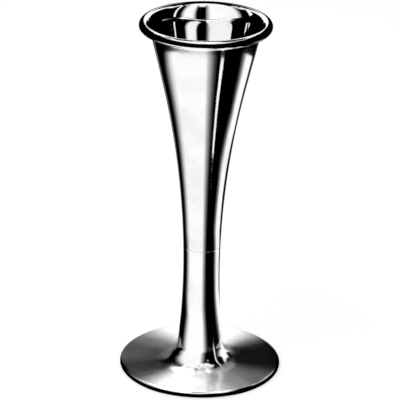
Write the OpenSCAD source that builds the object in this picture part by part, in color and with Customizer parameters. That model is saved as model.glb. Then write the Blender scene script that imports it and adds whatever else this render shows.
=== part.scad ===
// Metal monaural stethoscope: a spun bell that screws onto a spun foot with a flat ear disc.
// The ear plate's face lies on z = 0, and the sound bore runs up the z axis.
// Each piece of sheet metal is one closed outline of lines and arcs, turned about that axis.

/* [Overall] */
// Height from the ear plate's face to the top of the rim
overall_h = 165; // [150:1:185]
// Thickness of the sheet that the bell and the foot are spun from
wall_t = 1; // [0.8:0.05:1.2]

/* [Bell] */
// Outside diameter of the rolled rim
rim_d = 58.3; // [50:0.1:66]
// Diameter of the wire that the rim is rolled round
rim_wire_d = 2; // [1.6:0.1:2.4]
// Radius of the flared lip below the rim
lip_r = 9.4; // [8:0.1:11]
// Slope of the lip where it runs into the rim, from upright
lip_slope = 45; // [40:1:50]
// Height of the straight cone between the long curve and the lip
cone_h = 23; // [12:1:34]
// Height of the taper inside the neck, above the ferrule
taper_h = 6; // [4:0.5:10]

/* [Waist] */
// Outside diameter at the waist, the narrowest place
waist_d = 16.5; // [16:0.1:19]
// Height of the waist above the ear plate's face
waist_h = 48; // [42:0.5:54]

/* [Foot] */
// Diameter of the foot over its hemmed edge
ear_d = 73; // [66:0.5:80]
// Radius of the long hollow curve from the waist down to the foot
stem_curve_r = 350; // [280:10:450]
// Radius of the sweep from the stem into the flat of the foot
foot_sweep_r = 9; // [7:0.25:11]
// Width of the edge that is folded under the ear plate
hem_w = 4; // [3:0.25:5]

/* [Ear plate] */
// Thickness of the ear plate
plate_t = 0.8; // [0.6:0.05:1]
// Diameter of the sound hole
sound_hole_d = 9; // [8:0.1:10]
// Height of the collar drawn up round the sound hole
collar_h = 6; // [4:0.25:8]
// Inside radius of the bend between the plate and its collar
collar_bend_r = 0.4; // [0.2:0.05:0.8]
// Width of the step that lets the plate's face lie flush with the hem
step_w = 1.5; // [1:0.1:2.5]

/* [Screw joint] */
// Height of the joint between the bell and the foot
joint_h = 59; // [57:0.5:63]
// Outside diameter of the nipple's thread
thread_d = 11.7; // [11.4:0.1:12]
// Rise of the thread in one turn
thread_pitch = 2; // [1.8:0.1:2.4]
// Depth of the thread
thread_depth = 0.6; // [0.4:0.05:0.7]
// Turns of thread on the nipple and in the ferrule
thread_turns = 3.5; // [2:0.5:4]
// Turns over which each end of a thread runs out
runout_turns = 0.2; // [0.1:0.05:0.4]
// Clear length before and after a thread
thread_lead = 1; // [0.9:0.1:1.5]
// Bore of the nipple
nipple_bore_d = 9; // [8:0.1:9.2]
// Width of the countersink at the lower end of the nipple's bore
countersink = 1.5; // [1:0.1:2]
// Length of the nipple's shank in the neck of the foot
shank_l = 10; // [7:0.5:11]
// Thickness of the sealing washer
washer_t = 1; // [0.8:0.1:1.5]
// How far the ferrule reaches down into the neck of the foot
register_l = 1; // [0.6:0.1:1.6]

/* [Fits] */
// Gap between pieces that are pressed, soldered or folded together
seat_gap = 0.02; // [0.01:0.01:0.04]
// Gap round what slides into the neck of the foot
register_gap = 0.1; // [0.06:0.02:0.14]
// Gap between the two threads
thread_gap = 0.15; // [0.12:0.01:0.18]
// Gap between the ends of the bell and the foot at the joint
joint_gap = 0.1; // [0.06:0.02:0.2]
// Gap between the tip of the rolled rim and the wall
curl_gap = 0.1; // [0.06:0.02:0.2]
// Gap between the plate's step and the tip of the hem
step_gap = 0.4; // [0.2:0.05:0.6]
// Width of the broken corners at the joint and on the fittings
corner = 0.2; // [0.1:0.05:0.3]

/* [Hidden] */
$fn = 96;

// Steps along the long curves, the lip, the curl of the rim and the small bends
long_steps = 24;
lip_steps = 10;
curl_steps = 28;
bend_steps = 12;
// Facets in a turn of thread, how deep a ridge is let into its wall, and the slope of its flanks
thread_steps = 24;
thread_bite = 0.3;
flank_slope = 30;
// Halvings in the search for the cone's slope, and the steepest slope tried
search_steps = 40;
steepest_cone = 60;

// Rim: the inside and outside radius of the curl, and its centre
curl_r = rim_wire_d / 2 + seat_gap;
bead_r = curl_r + wall_t;
rim_c = [rim_d / 2 - bead_r, overall_h - bead_r];
// Lip: the centre of its arc, which runs into the curl at lip_slope
lip_to_rim = lip_r - curl_r;
lip_c = rim_c + lip_to_rim * [cos(lip_slope), -sin(lip_slope)];
// Angle at which the tip of the curl comes round to the wall again
curl_reach = bead_r + curl_gap;
curl_tip_cos = (pow(lip_r, 2) - pow(lip_to_rim, 2) - pow(curl_reach, 2)) / (2 * lip_to_rim * curl_reach);
curl_tip_a = acos(curl_tip_cos) - lip_slope - 180;

// Bell: the cone's slope is the one at which the long curve, the cone and the lip join smoothly
waist_r = waist_d / 2;
neck_r = waist_r - wall_t;
bell_z = joint_h + joint_gap;
function cone_top(slope) = polar(lip_c, lip_r, 180 - slope);
function cone_foot(slope) = cone_top(slope) - cone_h * [tan(slope), 1];
function cone_miss(slope) =
    cone_foot(slope)[0] - waist_r - (cone_foot(slope)[1] - waist_h) * tan(slope / 2);
function find_slope(low, high, steps) =
    let (middle = (low + high) / 2)
    steps == 0 ? middle
    : cone_miss(middle) > 0 ? find_slope(middle, high, steps - 1)
    : find_slope(low, middle, steps - 1);
cone_slope = find_slope(0, steepest_cone, search_steps);
bell_curve_r = (cone_foot(cone_slope)[1] - waist_h) / sin(cone_slope);
bell_curve_c = [waist_r + bell_curve_r, waist_h];

// Foot: the hem closes on the rim of the ear plate, and the sweep is tangent to the stem and the flat
plate_rim_z = wall_t + seat_gap;
edge_h = 2 * plate_rim_z + plate_t;
hem_c = [(ear_d - edge_h) / 2, edge_h / 2];
hem_tip_r = hem_c[0] - hem_w;
stem_curve_c = [waist_r + stem_curve_r, waist_h];
stem_to_sweep = stem_curve_r - foot_sweep_r;
sweep_drop = waist_h - edge_h - foot_sweep_r;
sweep_c = stem_curve_c - [sqrt(pow(stem_to_sweep, 2) - pow(sweep_drop, 2)), sweep_drop];
sweep_a = 180 + asin(sweep_drop / stem_to_sweep);

// Screw joint: radii of the seats and threads, and heights from the nipple's shoulder up
press_r = neck_r - seat_gap;
register_r = neck_r - register_gap;
thread_r = thread_d / 2;
core_r = thread_r - thread_depth;
socket_r = thread_r + thread_gap;
ferrule_z = joint_h - register_l;
washer_z = ferrule_z - seat_gap - washer_t;
shoulder_z = washer_z - seat_gap;
thread_l = thread_turns * thread_pitch;
nipple_thread_z = joint_h + thread_lead;
nipple_top_z = nipple_thread_z + thread_l + thread_lead;
ferrule_thread_z = nipple_thread_z + thread_pitch / 2;
ferrule_top_z = ferrule_thread_z + thread_l + thread_lead;

// Point at angle a on a circle, and points along an arc
function polar(c, r, a) = c + r * [cos(a), sin(a)];
function arc(c, r, from, to, steps) =
    [for (i = [0:steps]) polar(c, r, from + (to - from) * i / steps)];
// Angle at height z on the bell's long curve, or on its inner face where inset is the wall
function bell_curve_a(z, inset = 0) = 180 - asin((z - waist_h) / (bell_curve_r + inset));

// One right-handed thread ridge on a wall at root_r, with its crest at crest_r and its ends run out
module thread_ridge(root_r, crest_r, low) {
    side = sign(crest_r - root_r);
    height = abs(crest_r - root_r);
    middle_w = thread_pitch / 2 - thread_gap;
    crest_w = middle_w - height * tan(flank_slope);
    bed_w = middle_w + (height + 2 * thread_bite) * tan(flank_slope);
    bed_r = root_r - side * thread_bite;
    steps = ceil(thread_turns * thread_steps);
    function rise(turn) = min(1, turn / runout_turns, (thread_turns - turn) / runout_turns);
    function section(tip_r) =
        [[bed_r, -bed_w / 2], [tip_r, -crest_w / 2], [tip_r, crest_w / 2], [bed_r, bed_w / 2]];
    points = [
        for (i = [0:steps])
            let (turn = i * thread_turns / steps)
            for (p = section(root_r + side * height * rise(turn)))
                [p[0] * cos(360 * turn), p[0] * sin(360 * turn), low + turn * thread_pitch + p[1]]];
    skin = [
        for (i = [0:steps - 1], k = [0:3])
            let (a = 4 * i + k, b = 4 * i + (k + 1) % 4)
            each [[a, b, a + 4], [b, b + 4, a + 4]]];
    last = 4 * steps;
    ends = [[0, 2, 1], [0, 3, 2], [last, last + 1, last + 2], [last, last + 2, last + 3]];
    faces = concat(skin, ends);
    polyhedron(points, side > 0 ? faces : [for (f = faces) [f[0], f[2], f[1]]]);
}

// Foot: spun neck and stem that sweep out to a disc, with its edge hemmed under the ear plate
module foot() {
    color("gainsboro")
        rotate_extrude()
            polygon(concat(
                [[neck_r, joint_h]],
                [polar(bell_curve_c, bell_curve_r, bell_curve_a(joint_h)) - [corner, 0]],
                arc(bell_curve_c, bell_curve_r, bell_curve_a(joint_h - corner), 180, bend_steps),
                arc(stem_curve_c, stem_curve_r, 180, sweep_a, long_steps),
                arc(sweep_c, foot_sweep_r, sweep_a, 270, long_steps),
                arc(hem_c, edge_h / 2, 90, -90, bend_steps),
                [[hem_tip_r, 0], [hem_tip_r, wall_t]],
                arc(hem_c, edge_h / 2 - wall_t, -90, 90, bend_steps),
                arc(sweep_c, foot_sweep_r + wall_t, 270, sweep_a, long_steps),
                arc(stem_curve_c, stem_curve_r + wall_t, sweep_a, 180, long_steps)));
}

// Ear plate: pressed disc, with a collar drawn up round the sound hole and a rim stepped up over the hem
module ear_plate() {
    hole_r = sound_hole_d / 2;
    bend_r = plate_t + collar_bend_r;
    bend_c = [hole_r + bend_r, bend_r];
    step_top_r = hem_tip_r - step_gap;
    step_foot_r = step_top_r - step_w;
    lap = plate_t * tan(atan(plate_rim_z / step_w) / 2);
    color("silver")
        rotate_extrude()
            polygon(concat(
                [[hole_r, collar_h]],
                arc(bend_c, bend_r, 180, 270, bend_steps),
                [[step_foot_r, 0], [step_top_r, plate_rim_z], [hem_c[0], plate_rim_z]],
                [[hem_c[0], plate_rim_z + plate_t], [step_top_r - lap, plate_rim_z + plate_t]],
                [[step_foot_r - lap, plate_t]],
                arc(bend_c, collar_bend_r, 270, 180, bend_steps),
                [[hole_r + plate_t, collar_h]]));
}

// Nipple: plain shank pressed into the neck of the foot, and a threaded post above its shoulder
module foot_nipple() {
    bore_r = nipple_bore_d / 2;
    low = joint_h - shank_l;
    color("goldenrod")
        union() {
            rotate_extrude()
                polygon([
                    [bore_r, low + countersink], [bore_r + countersink, low],
                    [press_r - corner, low], [press_r, low + corner],
                    [press_r, shoulder_z - corner], [press_r - corner, shoulder_z],
                    [core_r, shoulder_z], [core_r, nipple_top_z - corner],
                    [core_r - corner, nipple_top_z], [bore_r + corner, nipple_top_z],
                    [bore_r, nipple_top_z - corner]]);
            thread_ridge(core_r, thread_r, nipple_thread_z);
        }
}

// Washer: seals the joint between the nipple's shoulder and the ferrule
module joint_washer() {
    color("saddlebrown")
        translate([0, 0, washer_z])
            difference() {
                cylinder(r = register_r, h = washer_t);
                translate([0, 0, -washer_t])
                    cylinder(r = socket_r, h = 3 * washer_t);
            }
}

// Ferrule: threaded socket pressed into the neck of the bell, with an end that enters the foot
module bell_ferrule() {
    color("goldenrod")
        union() {
            rotate_extrude()
                polygon([
                    [socket_r, ferrule_z + corner], [socket_r + corner, ferrule_z],
                    [register_r - corner, ferrule_z], [register_r, ferrule_z + corner],
                    [register_r, bell_z], [press_r, bell_z + corner],
                    [press_r, ferrule_top_z - corner], [press_r - corner, ferrule_top_z],
                    [socket_r + corner, ferrule_top_z], [socket_r, ferrule_top_z - corner]]);
            thread_ridge(socket_r, core_r + thread_gap, ferrule_thread_z);
        }
}

// Bell: spun neck, long curve, cone and lip, with its edge rolled over the wire
module bell() {
    taper_z = ferrule_top_z + taper_h;
    taper_a = bell_curve_a(taper_z, wall_t);
    color("gainsboro")
        rotate_extrude()
            polygon(concat(
                [[neck_r, bell_z]],
                [polar(bell_curve_c, bell_curve_r, bell_curve_a(bell_z)) - [corner, 0]],
                arc(bell_curve_c, bell_curve_r, bell_curve_a(bell_z + corner), 180 - cone_slope, long_steps),
                arc(lip_c, lip_r, 180 - cone_slope, 180 - lip_slope, lip_steps),
                arc(rim_c, curl_r, 180 - lip_slope, curl_tip_a, curl_steps),
                arc(rim_c, bead_r, curl_tip_a, 180 - lip_slope, curl_steps),
                arc(lip_c, lip_r + wall_t, 180 - lip_slope, 180 - cone_slope, lip_steps),
                arc(bell_curve_c, bell_curve_r + wall_t, 180 - cone_slope, taper_a, long_steps),
                [[neck_r, ferrule_top_z]]));
}

// Wire ring that stiffens the rolled rim
module rim_wire() {
    color("dimgray")
        rotate_extrude()
            translate(rim_c)
                circle(d = rim_wire_d);
}

foot();
ear_plate();
foot_nipple();
joint_washer();
bell_ferrule();
bell();
rim_wire();
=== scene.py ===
# %% [markdown]
# # A spun metal listening horn
# This lesson dresses a monaural stethoscope: a trumpet bell that screws onto a stem with a flat ear
# disc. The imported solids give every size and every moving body. The lesson replaces their flat
# facets with smooth turned surfaces, gives each metal its finish, and lights it as polished metal is
# photographed: in a dark room, with white and black cards round it.

# %% Load the frame
import math

import bpy
import numpy as np
from mathutils import Matrix, Vector


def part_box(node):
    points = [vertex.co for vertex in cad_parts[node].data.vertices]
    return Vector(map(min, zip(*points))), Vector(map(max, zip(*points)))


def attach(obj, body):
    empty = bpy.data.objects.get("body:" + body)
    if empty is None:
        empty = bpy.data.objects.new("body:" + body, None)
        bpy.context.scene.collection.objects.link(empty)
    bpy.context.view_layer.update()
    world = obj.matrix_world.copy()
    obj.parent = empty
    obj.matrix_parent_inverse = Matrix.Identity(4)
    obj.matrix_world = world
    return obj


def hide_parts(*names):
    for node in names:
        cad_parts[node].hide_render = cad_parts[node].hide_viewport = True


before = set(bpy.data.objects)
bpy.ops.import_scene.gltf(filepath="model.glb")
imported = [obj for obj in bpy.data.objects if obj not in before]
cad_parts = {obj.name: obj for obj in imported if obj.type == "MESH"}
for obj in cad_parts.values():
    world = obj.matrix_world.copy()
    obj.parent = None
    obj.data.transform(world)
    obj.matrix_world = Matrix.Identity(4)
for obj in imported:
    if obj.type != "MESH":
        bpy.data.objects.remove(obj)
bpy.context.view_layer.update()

# %% [markdown]
# ## The camera
# The picture's camera was found by fitting the rim's and the disc's ellipses and both outlines. It
# stands far off with a long lens, looks down at about 22 degrees, and leans about one degree, so the
# horn leans to the right. The lean is a roll about the line of sight. The small offset of the horn
# from the middle of the frame comes from where the camera points, so the lens needs no shift.

# %% Camera
MM = 0.001
FRAME_PX = 400
SENSOR_MM = 36.0
FOCAL_PX = 2507.8
VIEW_DISTANCE = 1118.7 * MM
VIEW_ELEVATION = math.radians(22.55)
VIEW_ROLL = math.radians(1.074)
LOOK_AT = Vector((0, 0, 81.5 * MM))
LOOK_AT_PX = (202.71, 198.70)


def placed(name, data):
    """An object for a lens, a lamp or a mesh, linked into the scene."""
    made = bpy.data.objects.new(name, data)
    bpy.context.collection.objects.link(made)
    return made


def aimed_camera():
    """A camera whose axis passes beside LOOK_AT, so that this point lands on LOOK_AT_PX."""
    back = Vector((0, -math.cos(VIEW_ELEVATION), math.sin(VIEW_ELEVATION)))
    level_right = Vector((1, 0, 0))
    level_up = back.cross(level_right)
    right = math.cos(VIEW_ROLL) * level_right + math.sin(VIEW_ROLL) * level_up
    up = math.cos(VIEW_ROLL) * level_up - math.sin(VIEW_ROLL) * level_right
    place = LOOK_AT + VIEW_DISTANCE * back
    metre_per_px = VIEW_DISTANCE / FOCAL_PX
    aside = (LOOK_AT_PX[0] - FRAME_PX / 2) * metre_per_px
    above = (FRAME_PX / 2 - LOOK_AT_PX[1]) * metre_per_px
    axis = (place - (LOOK_AT - aside * right - above * up)).normalized()
    right = up.cross(axis).normalized()
    up = axis.cross(right)
    lens = bpy.data.cameras.new("camera")
    lens.sensor_width = SENSOR_MM
    lens.lens = FOCAL_PX / FRAME_PX * SENSOR_MM
    camera = placed("camera", lens)
    turn = Matrix((right, up, axis)).transposed().to_4x4()
    camera.matrix_world = Matrix.Translation(place) @ turn
    return camera


scene = bpy.context.scene
scene.camera = aimed_camera()
scene.view_settings.view_transform = "Standard"
place = [round(v, 3) for v in scene.camera.location]
print("camera lens", round(scene.camera.data.lens, 1), "mm at", place)

# %% [markdown]
# ## Outlines of lines and arcs
# Spun and turned work is a flat outline carried round an axis. Each outline here is a list of (r, z)
# points along lines and arcs, closed on itself, so it has an outside and an inside and a real sheet
# thickness. A Screw or Spin modifier could turn a drawn curve, but numpy gives exact tangencies, and
# the point spacing can follow the bend: dense on a 2 mm bead, sparse on a long curve.

# %% Outline helpers
TURN_STEPS = 192
SAME_POINT = 1e-7
MAX_CUT = 1 / 2.2
SHARP_ANGLE = math.radians(40)


def polar(centre, radius, angle):
    """The point centre + radius (cos angle, sin angle), with the angle in degrees."""
    a = math.radians(angle)
    return np.array((centre[0] + radius * math.cos(a), centre[1] + radius * math.sin(a)))


def arc(centre, radius, start, stop, steps):
    """Points centre + radius (cos a, sin a), with a even from start to stop, in degrees."""
    a = np.radians(np.linspace(start, stop, steps + 1))
    return np.column_stack((centre[0] + radius * np.cos(a), centre[1] + radius * np.sin(a)))


def line(start, stop, steps=1):
    """Even points on the straight line from start to stop."""
    t = np.linspace(0, 1, steps + 1)[:, None]
    return (1 - t) * np.asarray(start, float) + t * np.asarray(stop, float)


def outline(*runs):
    """Runs of points joined end to end as one closed loop, counter-clockwise, with no point twice."""
    points = np.vstack(runs)
    step = np.linalg.norm(points - np.roll(points, 1, axis=0), axis=1)
    points = points[step > SAME_POINT]
    after = np.roll(points, -1, axis=0)
    area = np.sum(points[:, 0] * after[:, 1] - after[:, 0] * points[:, 1]) / 2
    return points if area > 0 else points[::-1]


def rounded(points, radius, steps=4):
    """A closed polygon with each corner cut to a quadratic curve that starts radius before it.

    A cut takes at most the share MAX_CUT of a side."""
    points = np.asarray(points, float)

    def cut(neighbours):
        side = neighbours - points
        length = np.linalg.norm(side, axis=1, keepdims=True)
        return points + side / length * np.minimum(radius, length * MAX_CUT)

    start = cut(np.roll(points, 1, axis=0))
    stop = cut(np.roll(points, -1, axis=0))
    t = np.linspace(0, 1, steps + 1)[None, :, None]
    curve = (1 - t) ** 2 * start[:, None] + 2 * t * (1 - t) * points[:, None] + t ** 2 * stop[:, None]
    return curve.reshape(-1, 2)


def turned(name, section, raise_by=None, steps=TURN_STEPS):
    """A closed outline of (r, z) carried round z: x = r cos a, y = r sin a, on a grid of point by angle.

    raise_by(r, z, a) gives what is added to r, as an array on the same grid."""
    a = np.linspace(0, 2 * np.pi, steps, endpoint=False)[None, :]
    r = np.repeat(section[:, :1], steps, axis=1)
    z = np.repeat(section[:, 1:], steps, axis=1)
    if raise_by is not None:
        r = r + raise_by(r, z, a)
    places = np.stack((r * np.cos(a), r * np.sin(a), z), axis=-1).reshape(-1, 3)
    row = np.arange(len(section))[:, None] * steps
    next_row = np.roll(row, -1, axis=0)
    column = np.arange(steps)[None, :]
    next_column = np.roll(column, -1, axis=1)
    corners = (row + column, row + next_column, next_row + next_column, next_row + column)
    quads = np.stack(corners, axis=-1).reshape(-1, 4)
    mesh = bpy.data.meshes.new(name)
    mesh.from_pydata(places, [], quads)
    mesh.shade_smooth()
    mesh.set_sharp_from_angle(angle=SHARP_ANGLE)
    print(name, len(section), "points round", steps, "steps,", 2 * len(quads), "triangles")
    return placed(name, mesh)


# %% [markdown]
# ## Sizes
# What the frame can say is read from the boxes of its nodes: the rim, the joint, the disc and the
# wire. The sheet thickness and the radii of the curves can't be read from a box, so they are named
# here, in the same millimetres as the solids.

# %% Sizes from the frame
_, foot_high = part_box("foot")
bell_low, bell_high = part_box("bell")
wire_low, wire_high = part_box("rim_wire")
EAR_R = foot_high[0]
JOINT_Z = foot_high[2]
BELL_Z = bell_low[2]
WIRE_R = (wire_high[2] - wire_low[2]) / 2
RIM_C = np.array((wire_high[0] - WIRE_R, (wire_high[2] + wire_low[2]) / 2))
BEAD_R = bell_high[0] - RIM_C[0]
WALL = 1.0 * MM
CURL_R = BEAD_R - WALL
CORNER = 0.06 * MM
across = [round(2 * r / MM, 2) for r in (EAR_R, bell_high[0], BEAD_R)]
print("ear disc, rim and bead are", across, "mm across")

# %% [markdown]
# ## The bell's outline
# On a lathe the bell is pressed over a former: a long hollow curve from the waist, a straight cone, a
# flared lip, and an edge rolled over a wire. The cone's slope isn't free, because the curve, the cone
# and the lip have to meet without a corner. It is found by halving, and the curve's radius follows.

# %% Bell and waist curves
WAIST_R = 8.25 * MM
WAIST_Z = 48 * MM
CONE_H = 23 * MM
STEEPEST = 60
LIP_R = 9.4 * MM
LIP_SLOPE = 45
LIP_AWAY = np.array((math.cos(math.radians(LIP_SLOPE)), -math.sin(math.radians(LIP_SLOPE))))
LIP_C = RIM_C + (LIP_R - CURL_R) * LIP_AWAY
NECK_R = WAIST_R - WALL


def cone_ends(slope):
    """Foot and top of the straight cone at a slope from upright: the top lies on the lip's arc."""
    top = polar(LIP_C, LIP_R, 180 - slope)
    return top - CONE_H * np.array((math.tan(math.radians(slope)), 1)), top


def cone_miss(slope):
    """How far outside the waist's curve the cone's foot lies.

    A curve that turns by the slope runs out by its height times the tangent of half the slope."""
    foot, _ = cone_ends(slope)
    return foot[0] - WAIST_R - (foot[1] - WAIST_Z) * math.tan(math.radians(slope / 2))


def halving(miss, low, high, times=50):
    """The value at which miss falls through zero."""
    for _ in range(times):
        middle = (low + high) / 2
        low, high = (middle, high) if miss(middle) > 0 else (low, middle)
    return (low + high) / 2


CONE_SLOPE = halving(cone_miss, 0, STEEPEST)
CONE_FOOT, CONE_TOP = cone_ends(CONE_SLOPE)
BELL_CURVE_R = (CONE_FOOT[1] - WAIST_Z) / math.sin(math.radians(CONE_SLOPE))
BELL_CURVE_C = np.array((WAIST_R + BELL_CURVE_R, WAIST_Z))


def bell_curve_angle(z, inset=0.0):
    """Angle at height z on the bell's long curve, or on its inner face at inset."""
    return 180 - math.degrees(math.asin((z - WAIST_Z) / (BELL_CURVE_R + inset)))


print("cone slope", round(CONE_SLOPE, 2), "deg, long curve", round(BELL_CURVE_R / MM, 1), "mm")

# %% [markdown]
# ## The bell
# The rolled rim is the piece's main detail. The sheet's outside becomes the inside of the curl, so
# the roll starts on the lip, goes over the top and tucks its tip back against the wall. The seam this
# leaves under the bead is real geometry, because a painted line would lie wrong from below.

# %% Bell
CURL_GAP = 0.1 * MM
FERRULE_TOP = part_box("bell_ferrule")[1][2]
TAPER_H = 6 * MM


def curl_tip_angle():
    """Where the tip of the curl reaches the wall again: the triangle of lip centre, rim centre and tip."""
    apart = LIP_R - CURL_R
    reach = BEAD_R + CURL_GAP
    cosine = (LIP_R ** 2 - apart ** 2 - reach ** 2) / (2 * apart * reach)
    return math.degrees(math.acos(cosine)) - LIP_SLOPE - 180


def bell_outline():
    """Outside up to the lip, round the curl and back, then the inside down to the neck."""
    tip = curl_tip_angle()
    lip_start, lip_stop = 180 - CONE_SLOPE, 180 - LIP_SLOPE
    inner_curve_r = BELL_CURVE_R + WALL
    taper_angle = bell_curve_angle(FERRULE_TOP + TAPER_H, WALL)
    taper_top = polar(BELL_CURVE_C, inner_curve_r, taper_angle)
    corner_angle = bell_curve_angle(BELL_Z + CORNER)
    corner_top = polar(BELL_CURVE_C, BELL_CURVE_R, corner_angle)
    return outline(
        arc((corner_top[0] - CORNER, BELL_Z + CORNER), CORNER, -90, 0, 6),
        arc(BELL_CURVE_C, BELL_CURVE_R, corner_angle, lip_start, 80),
        line(CONE_FOOT, CONE_TOP, 18),
        arc(LIP_C, LIP_R, lip_start, lip_stop, 20),
        arc(RIM_C, CURL_R, lip_stop, tip, 24),
        arc(RIM_C, BEAD_R, tip, lip_stop, 64),
        arc(LIP_C, LIP_R + WALL, lip_stop, lip_start, 20),
        line(polar(LIP_C, LIP_R + WALL, lip_start), polar(BELL_CURVE_C, inner_curve_r, lip_start), 18),
        arc(BELL_CURVE_C, inner_curve_r, lip_start, taper_angle, 60),
        line(taper_top, (NECK_R, FERRULE_TOP), 8),
        line((NECK_R, FERRULE_TOP), (NECK_R, BELL_Z), 8))


bell = turned("bell_shell", bell_outline())
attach(bell, "bell")
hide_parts("bell")

# %% [markdown]
# ## The foot
# The foot starts as the same sheet: a straight neck, the lower half of the waist, and a sweep that is
# tangent to the stem and to the flat of the disc. Its edge is folded right under to grip the ear
# plate, so the disc's visible edge is a half round as thick as two sheets and a plate.

# %% Foot
STEM_CURVE_R = 350 * MM
STEM_CURVE_C = np.array((WAIST_R + STEM_CURVE_R, WAIST_Z))
SWEEP_R = 9 * MM
HEM_W = 4 * MM
PLATE_T = 0.8 * MM
SEAT_GAP = 0.02 * MM
PLATE_RIM_Z = WALL + SEAT_GAP
EDGE_H = 2 * PLATE_RIM_Z + PLATE_T
HEM_C = np.array((EAR_R - EDGE_H / 2, EDGE_H / 2))
HEM_TIP_R = HEM_C[0] - HEM_W


def foot_outline():
    """Outside down the stem and out to the edge, round the hem, and back up the inside."""
    apart = STEM_CURVE_R - SWEEP_R
    drop = WAIST_Z - EDGE_H - SWEEP_R
    sweep_c = STEM_CURVE_C - np.array((math.sqrt(apart ** 2 - drop ** 2), drop))
    sweep_start = 180 + math.degrees(math.asin(drop / apart))
    corner_angle = bell_curve_angle(JOINT_Z - CORNER)
    corner_top = polar(BELL_CURVE_C, BELL_CURVE_R, corner_angle)
    return outline(
        arc((corner_top[0] - CORNER, JOINT_Z - CORNER), CORNER, 90, 0, 6),
        arc(BELL_CURVE_C, BELL_CURVE_R, corner_angle, 180, 12),
        arc(STEM_CURVE_C, STEM_CURVE_R, 180, sweep_start, 36),
        arc(sweep_c, SWEEP_R, sweep_start, 270, 40),
        line((sweep_c[0], EDGE_H), (HEM_C[0], EDGE_H), 24),
        arc(HEM_C, EDGE_H / 2, 90, -90, 28),
        line((HEM_C[0], 0), (HEM_TIP_R, 0), 6),
        line((HEM_TIP_R, 0), (HEM_TIP_R, WALL), 2),
        arc(HEM_C, EDGE_H / 2 - WALL, -90, 90, 12),
        line((HEM_C[0], EDGE_H - WALL), (sweep_c[0], EDGE_H - WALL), 12),
        arc(sweep_c, SWEEP_R + WALL, 270, sweep_start, 24),
        arc(STEM_CURVE_C, STEM_CURVE_R + WALL, sweep_start, 180, 24),
        line((NECK_R, WAIST_Z), (NECK_R, JOINT_Z), 6))


foot = turned("foot_shell", foot_outline())
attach(foot, "foot")
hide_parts("foot")

# %% [markdown]
# ## The ear plate
# The plate closes the disc from below and lies against the ear. Its sound hole is drawn up into a
# collar, which leaves a smooth round edge, and its rim steps up into the hem.

# %% Ear plate
HOLE_R = 4.5 * MM
COLLAR_H = 6 * MM
COLLAR_BEND_R = 0.4 * MM
STEP_W = 1.5 * MM
STEP_GAP = 0.4 * MM


def ear_plate_outline():
    """Down the hole and round its edge, along the face, up the step into the hem, and back on top."""
    bend_r = PLATE_T + COLLAR_BEND_R
    bend_c = np.array((HOLE_R + bend_r, bend_r))
    step_top = HEM_TIP_R - STEP_GAP
    step_foot = step_top - STEP_W
    lap = PLATE_T * math.tan(math.atan(PLATE_RIM_Z / STEP_W) / 2)
    top = PLATE_RIM_Z + PLATE_T
    return outline(
        line((HOLE_R + PLATE_T, COLLAR_H), (HOLE_R, COLLAR_H), 3),
        line((HOLE_R, COLLAR_H), (HOLE_R, bend_r), 8),
        arc(bend_c, bend_r, 180, 270, 16),
        line((bend_c[0], 0), (step_foot, 0), 30),
        line((step_foot, 0), (step_top, PLATE_RIM_Z), 6),
        line((step_top, PLATE_RIM_Z), (HEM_C[0], PLATE_RIM_Z), 4),
        line((HEM_C[0], top), (step_top - lap, top), 4),
        line((step_top - lap, top), (step_foot - lap, PLATE_T), 6),
        line((step_foot - lap, PLATE_T), (bend_c[0], PLATE_T), 20),
        arc(bend_c, COLLAR_BEND_R, 270, 180, 12),
        line((HOLE_R + PLATE_T, bend_r), (HOLE_R + PLATE_T, COLLAR_H), 6))


ear_plate = turned("ear_plate_disc", ear_plate_outline())
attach(ear_plate, "foot")
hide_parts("ear_plate")

# %% [markdown]
# ## The screw joint
# The nipple and the ferrule are turned brass with a coarse rounded-off thread. A thread is a wall
# whose radius depends on both the height and the angle, so it stays one grid: the outline is dense
# along the threaded wall, and raise_by adds the ridge. A ridge made of separate swept strips would
# have to be joined to the wall, and its run-out would end in a step.

# %% Thread
PITCH = 2.0 * MM
THREAD_TURNS = 3.5
RUNOUT_TURNS = 0.2
THREAD_R = 5.85 * MM
THREAD_DEPTH = 0.6 * MM
THREAD_GAP = 0.15 * MM
THREAD_LEAD = 1.0 * MM
CORE_R = THREAD_R - THREAD_DEPTH
SOCKET_R = THREAD_R + THREAD_GAP
FLANK = math.tan(math.radians(30))
NIPPLE_THREAD_Z = JOINT_Z + THREAD_LEAD
ON_WALL = 0.01 * MM
EDGE_BREAK = 0.25 * MM


def thread(wall_r, first_z, side):
    """raise_by for one right-hand ridge: full height on the crest, falling along the flank to nothing.

    The distance to the nearest ridge is z less the helix's rise, wrapped to half a pitch either way."""
    middle = PITCH / 2 - THREAD_GAP
    crest_half = (middle - THREAD_DEPTH * FLANK) / 2
    root_half = (middle + THREAD_DEPTH * FLANK) / 2

    def raise_by(r, z, a):
        apart = z - first_z - PITCH * a / (2 * np.pi)
        apart = apart - PITCH * np.round(apart / PITCH)
        turn = (z - apart - first_z) / PITCH
        runout = np.clip(np.minimum(turn, THREAD_TURNS - turn) / RUNOUT_TURNS, 0, 1)
        flank = np.clip((root_half - np.abs(apart)) / (root_half - crest_half), 0, 1)
        return side * THREAD_DEPTH * runout * flank * (np.abs(r - wall_r) < ON_WALL)

    return raise_by


def wall_rows(points, wall_r, step=0.05 * MM):
    """The outline with its stretches along r = wall_r split into short rows, so that a thread shows."""
    after = np.roll(points, -1, axis=0)
    on_wall = np.abs(points[:, 0] - wall_r) < ON_WALL
    along = on_wall & np.roll(on_wall, -1)
    length = np.abs(after[:, 1] - points[:, 1])
    rows = np.where(along, np.maximum(np.round(length / step), 1), 1).astype(int)
    stretch = np.repeat(np.arange(len(points)), rows)
    first = np.cumsum(rows) - rows
    share = ((np.arange(rows.sum()) - first[stretch]) / rows[stretch])[:, None]
    return (1 - share) * points[stretch] + share * after[stretch]


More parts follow.
